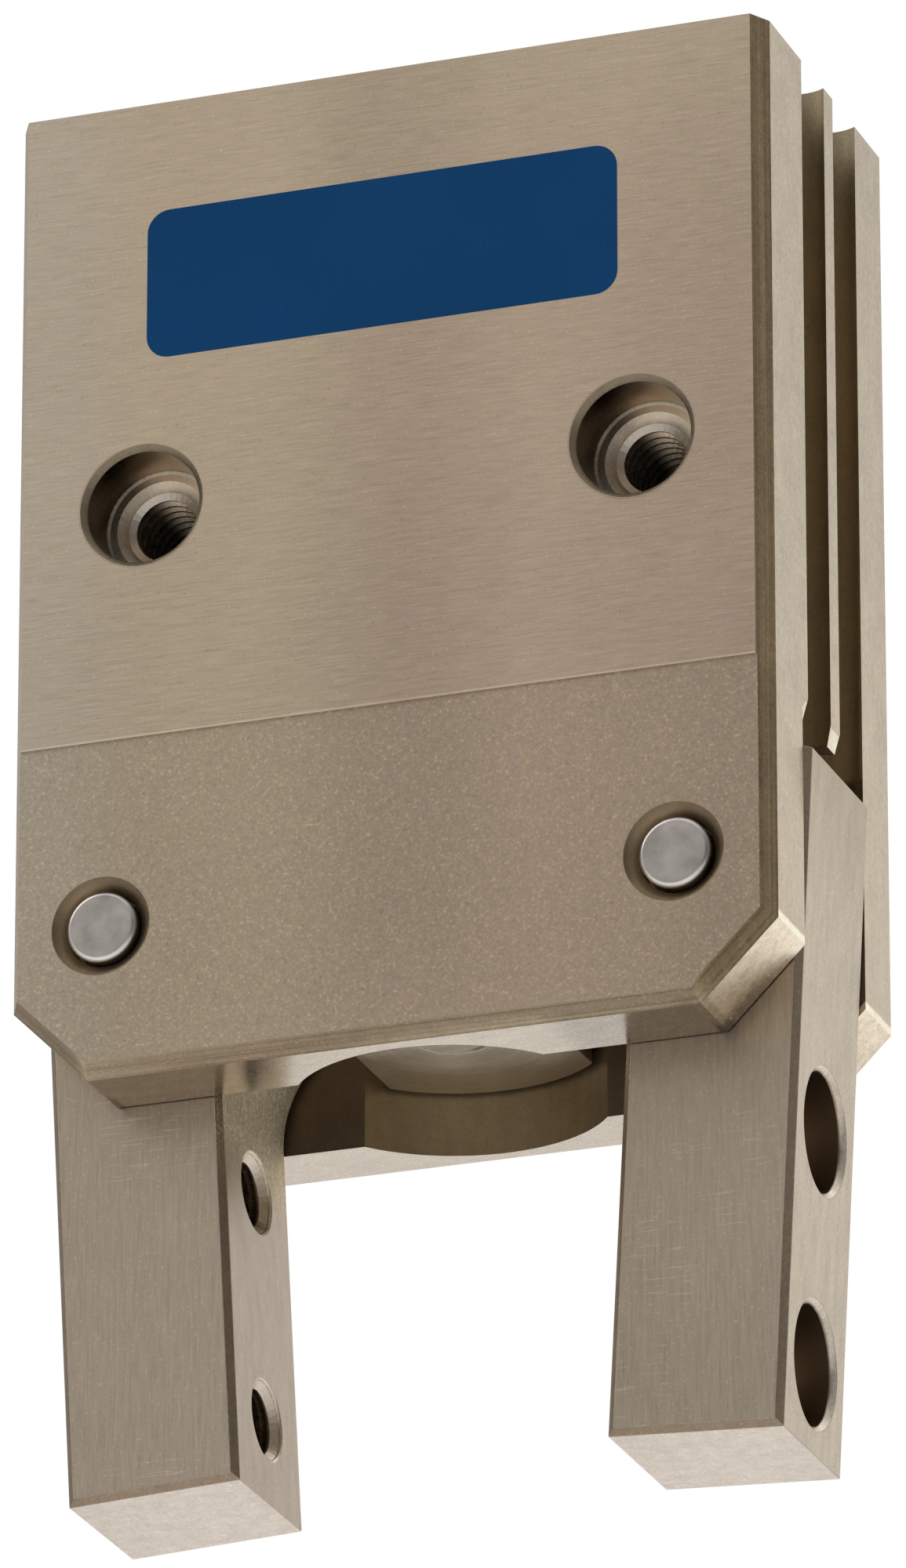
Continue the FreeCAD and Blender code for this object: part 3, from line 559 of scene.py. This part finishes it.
def jaw_metal():
    """Ground along the limb, scratched across it here and there, with grainy sides and a rough root."""
    m = Material("jaw_metal")
    on = jaw_regions(m)
    grainy = m.rest(m.most(on.face, on.bore))
    ground = m.add(m.noise((6.0, 1.5, 0.30), 3.0), m.times(m.noise((13.0, 4.0, 1.2)), 0.7))
    grain = m.add(m.noise(6.0), m.times(m.noise(1.8), 0.3))
    light_specks = m.specks(6.5, 0.12)
    squiggles = m.ramp(m.math("ABSOLUTE", m.noise((4.2, 4.2, 2.8))), 0.03, 0.0)
    streaks = m.noise((1.5, 1.5, 0.35), 3.0)
    scratched = m.ramp(m.noise((0.15, 0.3, 0.12)), 0.0, 0.12)
    scratches = m.times(m.ramp(m.noise((0.5, 0.5, 8.0)), 0.10, 0.20), scratched)
    cloud = m.noise((0.12, 0.12, 0.06))
    # painted shade on the edges of the left jaw
    left_upright = m.times(m.ramp(m.x, 1.0, -1.0), m.ramp(m.facing_x, 0.2, 0.4))
    # painted shade on the lower front of the right jaw
    right_foot = m.times(m.ramp(m.x, 4.0, 6.0), m.ramp(m.z, -62.0, -71.0))
    tone = m.add(
        1.0,
        m.times(on.face, ground, 0.46),
        m.times(on.face, scratches, 0.22),
        m.times(grainy, m.add(m.times(grain, 0.50), m.times(streaks, 0.35))),
        m.times(m.rest(on.bore), light_specks, 0.22),
        m.times(on.root, squiggles, 0.85),
        m.times(on.edge, left_upright, -0.18),
        m.times(on.face, right_foot, -0.06),
        m.times(cloud, 0.18),
    )
    height = m.add(m.times(on.face, ground), m.times(grainy, grain), m.times(on.face, scratches, -0.6))
    roughness = m.add(
        COATING_ROUGHNESS,
        m.times(m.most(on.bore, on.rim), -0.10),
        m.times(on.root, 0.25),
        m.times(m.rest(on.bore), m.add(m.times(ground, 0.12), m.times(grain, 0.15))),
    )
    return m.finish(jaw_colour(m, on), tone, roughness, height, MILLED_RELIEF)


# Materials of the other pieces
def pin_steel():
    """Ground grey steel: fine rings on the ends, a rounded rim with a painted highlight that is stronger
    below, a little cloudy.
    """
    m = Material("pin_steel")
    rings = m.noise((7.0, 1.0, 1.0), place=m.join(m.from_axis(PIVOT.x, PIVOT.z), 0.0, 0.0))
    cloud = m.noise(0.9, 3.0)
    # painted highlight: the rim is paler, and brighter still below the pin's middle
    rim = m.between(m.facing_y, 0.35, 0.92, 0.06)
    low_rim = m.times(rim, m.ramp(m.z, PIVOT.z / MM - 0.3, PIVOT.z / MM - 1.6))
    tone = m.add(1.0, m.times(rings, 0.18), m.times(cloud, 0.90), m.times(low_rim, 0.45))
    colour = m.mix(rim, (0.387, 0.351, 0.320), (0.630, 0.600, 0.570))
    roughness = m.add(0.34, m.times(cloud, 0.25))
    return m.finish(colour, tone, roughness, m.add(rings, cloud), TURNED_RELIEF)


def turned_metal(name, colour, roughness):
    """Metal turned about the Z axis: fine rings by radius and by height, with painted shade on its slopes.
    """
    m = Material(name)
    around = m.join(m.away(m.x, m.y, (0.0, 0.0)), 0.0, m.z)
    wide_rings = m.noise((1.3, 1.0, 1.3), 1.0, around)
    rings = m.add(m.noise((6.0, 1.0, 6.0), place=around), m.times(wide_rings, 0.6))
    cloud = m.noise(0.35, 3.0)
    mottle = m.noise(2.5, 3.0)
    # painted shade on the slopes
    sloping = m.between(m.facing_z, 0.30, 0.90, 0.08)
    tone = m.add(
        1.0,
        m.times(rings, 0.40),
        m.times(cloud, 0.40),
        m.times(mottle, 0.30),
        m.times(sloping, -0.25),
    )
    return m.finish(colour, tone, m.add(roughness, m.times(cloud, 0.2)), rings, TURNED_RELIEF)


def mottled(m, colour, roughness, shade=0.0):
    """Fine mottle, lighter or darker by a shade."""
    mottle = m.noise(3.0, 3.0)
    fine = m.noise(12.0, 1.0)
    tone = m.add(1.0, m.times(mottle, 0.35), m.times(fine, 0.25), shade)
    roughness = m.add(roughness, m.times(mottle, 0.25))
    return m.finish(colour, tone, roughness, m.add(mottle, fine), TURNED_RELIEF)


def plain_metal(name, colour, roughness):
    """Coated or hardened metal with a fine mottle."""
    return mottled(Material(name), colour, roughness)


def thread_metal():
    """Cut threads, with a painted highlight at the upper right of the mounting holes, and painted shade
    deeper in, on their lower left and in the jaws.
    """
    m = Material("thread_metal")
    thread_r = M4_R / MM
    mount = m.ramp(m.from_axis(MOUNT_X, MOUNT_Z), thread_r + 0.5, thread_r + 0.4)
    mouth_y = (FRONT_Y + HEAD_BORE_DEPTH + HEAD_BORE_SINK_DEPTH) / MM
    # painted shade deeper in each mounting hole and on its lower left, made less metallic so that it stays
    # dark, a painted highlight near the mouth at the upper right, and painted shade in the jaws
    deep_shade = m.times(mount, m.most(m.ramp(m.y, mouth_y + 1.5, mouth_y + 7.0), m.mount_shade()))
    in_jaw = m.ramp(m.z, ROOT_END_Z / MM + 0.5, ROOT_END_Z / MM - 0.5)
    shade = m.add(m.times(deep_shade, -0.85), m.times(mount, m.rest(deep_shade)), m.times(in_jaw, -0.45))
    m.put(m.shader.inputs["Metallic"], m.rest(deep_shade))
    m.shader.inputs["Specular IOR Level"].default_value = 0.0
    return mottled(m, (0.500, 0.400, 0.290), 0.28, shade)


def moulded(name, colour, roughness):
    """Rubber, plastic or bonded powder: matt, with a fine pebble."""
    m = Material(name, metallic=0.0)
    pebble = m.noise(9.0)
    cloud = m.noise(0.7)
    tone = m.add(1.0, m.times(pebble, 0.3), m.times(cloud, 0.3))
    return m.finish(colour, tone, m.add(roughness, m.times(pebble, 0.2)), pebble, MOULDED_RELIEF)


def label_print():
    """Plain dark blue film with a fine printed grain."""
    m = Material("label_print", metallic=0.0)
    m.shader.inputs["Specular IOR Level"].default_value = 0.06
    fibre = m.noise(6.0, 3.0)
    cloud = m.noise(0.15)
    tone = m.add(1.0, m.times(fibre, 0.30), m.times(cloud, 0.25))
    roughness = m.add(0.40, m.times(fibre, 0.2))
    return m.finish((0.0045, 0.062, 0.186), tone, roughness, fibre, PRINTED_RELIEF)


MATERIALS = {
    "housing_metal": housing_metal(),
    "jaw_metal": jaw_metal(),
    "pin_steel": pin_steel(),
    "driver_metal": turned_metal("driver_metal", (0.56, 0.49, 0.40), 0.36),
    "piston_metal": turned_metal("piston_metal", (0.70, 0.70, 0.70), 0.30),
    "rod_steel": turned_metal("rod_steel", (0.66, 0.66, 0.67), 0.15),
    "guide_metal": turned_metal("guide_metal", (0.50, 0.46, 0.40), 0.40),
    "screw_steel": plain_metal("screw_steel", (0.54, 0.48, 0.40), 0.36),
    "circlip_steel": plain_metal("circlip_steel", (0.16, 0.16, 0.165), 0.45),
    "bush_bronze": plain_metal("bush_bronze", (0.52, 0.37, 0.20), 0.45),
    "magnet": moulded("magnet", (0.10, 0.10, 0.105), 0.6),
    "seal_rubber": moulded("seal_rubber", (0.022, 0.022, 0.023), 0.55),
    "guide_ring_plastic": moulded("guide_ring_plastic", (0.30, 0.17, 0.09), 0.5),
    "bumper_rubber": moulded("bumper_rubber", (0.07, 0.075, 0.08), 0.5),
    "label_print": label_print(),
    "thread_metal": thread_metal(),
    "thread_bevel": plain_metal("thread_bevel", BARE_METAL, 0.36),
}


# The CAD nodes
def dress(obj, finish):
    """Gives an object one of the materials."""
    obj.data.materials.clear()
    obj.data.materials.append(MATERIALS[finish])


def break_edges(obj):
    """Welds the faces of a CAD node, rounds its sharp edges a little and keeps flat faces flat."""
    for polygon in obj.data.polygons:
        polygon.use_smooth = True
    weld = obj.modifiers.new("weld", "WELD")
    weld.merge_threshold = WELD
    merge = obj.modifiers.new("flats", "DECIMATE")
    merge.decimate_type = "DISSOLVE"
    merge.angle_limit = FLAT_ANGLE
    merge.delimit = {"SHARP"}
    bevel = obj.modifiers.new("edges", "BEVEL")
    bevel.width = EDGE_BREAK
    bevel.segments = EDGE_STEPS
    bevel.limit_method = "ANGLE"
    bevel.angle_limit = EDGE_ANGLE
    bevel.harden_normals = True
    bevel.miter_outer = "MITER_ARC"
    flat = obj.modifiers.new("normals", "WEIGHTED_NORMAL")
    flat.keep_sharp = True


for part in frame["record"]["subparts"]:
    node = nodes[part["node"]]
    dress(node, part["material_slot"])
    break_edges(node)


# Pieces that the CAD model leaves out
def new_object(name, data):
    """New object in the scene."""
    obj = bpy.data.objects.new(name, data)
    bpy.context.scene.collection.objects.link(obj)
    return obj


def piece(name, points, faces, body, slot, finish=None):
    """New mesh that rides on a body and takes its finish from its slot where no other is given."""
    mesh = bpy.data.meshes.new(name)
    mesh.from_pydata([tuple(point) for point in points], [], faces)
    mesh.validate()
    obj = new_object(name, mesh)
    dress(obj, finish or slot)
    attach(obj, body)


def swept(name, sections, body, finish, closed=False):
    """Part of a thread through sections of equally many points, joined to a ring or closed at its ends."""
    size, count = len(sections[0]), len(sections)
    last = (count - 1) * size
    faces = [] if closed else [tuple(range(size)), tuple(last + k for k in reversed(range(size)))]
    for step in range(count if closed else count - 1):
        first, second = step * size, (step + 1) % count * size
        for k in range(size):
            following = (k + 1) % size
            faces.append((first + k, second + k, second + following, first + following))
    points = [point for section in sections for point in section]
    piece(name, points, faces, body, "thread_metal", finish)


def thread(name, mouth, into, length, major, pitch, body, near=1.0, far=1.0):
    """Inside thread: helical ridge, and at each end a bevel of this slope, or None at a blind end."""
    into = into.normalized()
    side = into.orthogonal().normalized()
    up = into.cross(side)
    crest = major - THREAD_HEIGHT * pitch
    foot = major + THREAD_SINK
    wide, narrow = THREAD_FOOT * pitch, THREAD_CREST * pitch

    def section(step, corners, at, way):
        turn = 2 * pi * step / THREAD_STEPS
        out = side * cos(turn) + up * sin(turn)
        return [at + out * radius + way * along for radius, along in corners]

    run_in = []
    bottom = mouth + into * length
    for word, slope, at, way in (("near", near, mouth, into), ("far", far, bottom, -into)):
        reach = (major - crest) / slope if slope else 0
        run_in.append(reach / 2 + wide)
        if slope:
            corners = [(foot, 0), (crest, reach), (crest, reach + THREAD_LAND), (foot, reach + THREAD_LAND)]
            sections = [section(step, corners, at, way) for step in range(THREAD_STEPS)]
            swept(f"{name}_{word}_bevel", sections, body, "thread_bevel", closed=True)
    corners = [(foot, -wide), (crest, -narrow), (crest, narrow), (foot, wide)]
    count = round(THREAD_STEPS * (length - sum(run_in)) / pitch)
    sections = []
    for step in range(count + 1):
        along = run_in[0] + pitch * step / THREAD_STEPS
        sections.append(section(step, corners, mouth + into * along, into))
    swept(name, sections, body, "thread_metal")


def threads():
    """All screw threads, placed by the record's mounts."""
    front, down, right = Vector((0, -1, 0)), Vector((0, 0, -1)), Vector((1, 0, 0))
    for side, word in ((-1, "left"), (1, "right")):
        floor = Vector((side * MOUNT_X, FRONT_Y + HEAD_BORE_DEPTH + HEAD_BORE_SINK_DEPTH, MOUNT_Z))
        depth = HOUSING_HIGH.y - THREAD_RIM - floor.y
        slope = HEAD_BORE_SINK / HEAD_BORE_SINK_DEPTH
        thread(f"{word}_mount_thread", floor, -front, depth, M4_R, M4_PITCH, "housing", near=slope)
        top = Vector((side * TOP_X, 0, HOUSING_HIGH.z - THREAD_RIM))
        depth = TOP_DEPTH - THREAD_RIM
        thread(f"{word}_top_thread", top, down, depth, M4_R, M4_PITCH, "housing", far=None)
        for level in ("upper", "lower"):
            mount = mounts[f"{word}_{level}_finger_thread"]
            out = Vector(mount["axis"])
            depth = mount["dims"]["length_mm"] * MM
            bottom = Vector(mount["pos_m"]) + out * depth / 2
            name = f"{word}_{level}_finger_ridge"
            thread(name, bottom, -out, depth, M4_R, M4_PITCH, f"{word}_jaw")
    for up, word in ((PORT_UP, "open"), (-PORT_UP, "close")):
        mouth = Vector((HOUSING_LOW.x + THREAD_RIM, 0, PORT_Z + up))
        depth = PORT_DEPTH - THREAD_RIM
        thread(f"{word}_port_thread", mouth, right, depth, M5_R, M5_PITCH, "housing", far=None)


def label():
    """Blank film with rounded corners, a hair proud of the front face."""
    outline = []
    left, right = LABEL_X[0] + LABEL_CORNER, LABEL_X[1] - LABEL_CORNER
    low, high = LABEL_Z[0] + LABEL_CORNER, LABEL_Z[1] - LABEL_CORNER
    for quarter, (x, z) in enumerate(((right, high), (left, high), (left, low), (right, low))):
        for step in range(LABEL_CORNER_STEPS + 1):
            turn = pi / 2 * (quarter + step / LABEL_CORNER_STEPS)
            outline.append((x + LABEL_CORNER * cos(turn), z + LABEL_CORNER * sin(turn)))
    front = [(x, FRONT_Y - LABEL_T, z) for x, z in outline]
    back = [(x, FRONT_Y + LABEL_SINK, z) for x, z in outline]
    count = len(outline)
    faces = [tuple(range(count)), tuple(reversed(range(count, 2 * count)))]
    for k in range(count):
        following = (k + 1) % count
        faces.append((k, k + count, following + count, following))
    piece("blank_label", front + back, faces, "housing", "label_print")


threads()
label()


# Floor, light and camera
def floor_paint():
    """Pale and matt, nearly white where it is seen, and where it is mirrored behind the gripper."""
    m = Material("floor", metallic=0.0)
    cloud = m.noise(0.002)
    m.finish((0.86, 0.86, 0.86), m.add(1.0, m.times(cloud, 0.02)), 0.8, cloud, FLOOR_RELIEF)
    path = m.tree.nodes.new("ShaderNodeLightPath")
    mirrored = m.most(path.outputs["Is Glossy Ray"], path.outputs["Is Transmission Ray"])
    behind = m.ramp(m.y, FLOOR_FADE[0] / MM, FLOOR_FADE[1] / MM)
    share = m.times(m.most(path.outputs["Is Camera Ray"], m.times(mirrored, behind)), FLOOR_WHITE)
    white = m.tree.nodes.new("ShaderNodeEmission")
    both = m.fill("ShaderNodeMixShader", (share, m.shader.outputs[0], white.outputs[0]))
    m.put(m.tree.nodes["Material Output"].inputs["Surface"], both.outputs[0])
    return m.made


def floor():
    """Flat floor far below the hanging gripper."""
    half = FLOOR_HALF
    corners = [(-half, -half), (half, -half), (half, half), (-half, half)]
    mesh = bpy.data.meshes.new("floor")
    mesh.from_pydata([(x, y, FLOOR_Z) for x, y in corners], [], [(0, 1, 2, 3)])
    mesh.materials.append(floor_paint())
    obj = new_object("floor", mesh)


def world():
    """Plain studio: white behind, softer overhead and on the left in front, dim at the sides."""
    made = bpy.data.worlds.new("studio")
    bpy.context.scene.world = made
    made.use_nodes = True
    w = Nodes(made.node_tree)
    coords = w.tree.nodes.new("ShaderNodeTexCoord")
    x, y, z = w.split(coords.outputs["Generated"])
    behind = w.times(w.ramp(y, *TO_BACK), BEHIND - DIM)
    left = w.times(w.ramp(x, *TO_LEFT), AHEAD - RIGHT_AHEAD)
    ahead = w.times(w.ramp(y, *TO_FRONT), w.add(left, RIGHT_AHEAD - DIM))
    above = w.times(w.ramp(z, *TO_TOP), ABOVE - DIM)
    background = w.tree.nodes["Background"]
    background.inputs["Color"].default_value = (1, 1, 1, 1)
    w.put(background.inputs["Strength"], w.add(DIM, behind, ahead, above))


def aim(obj, at, ahead):
    """Puts a lamp or camera at a place and turns it to look ahead."""
    obj.location = at
    obj.rotation_mode = "QUATERNION"
    obj.rotation_quaternion = ahead.to_track_quat("-Z", "Y")


def key_lamp():
    """Square soft box that faces the gripper."""
    data = bpy.data.lights.new("key", "AREA")
    data.shape = "SQUARE"
    data.size = KEY_SIZE
    data.energy = KEY_POWER
    aim(new_object("key", data), KEY_AT, KEY_TARGET - KEY_AT)


def camera():
    """The photograph's camera."""
    data = bpy.data.cameras.new("camera")
    data.lens = CAMERA_LENS
    data.clip_start, data.clip_end = CAMERA_CLIP
    flat = cos(CAMERA_ELEVATION)
    ahead = Vector((-sin(CAMERA_AZIMUTH) * flat, cos(CAMERA_AZIMUTH) * flat, -sin(CAMERA_ELEVATION)))
    obj = new_object("camera", data)
    aim(obj, CAMERA_AT, ahead)
    bpy.context.scene.camera = obj


floor()
world()
key_lamp()
camera()
bpy.context.scene.view_settings.view_transform = "Standard"
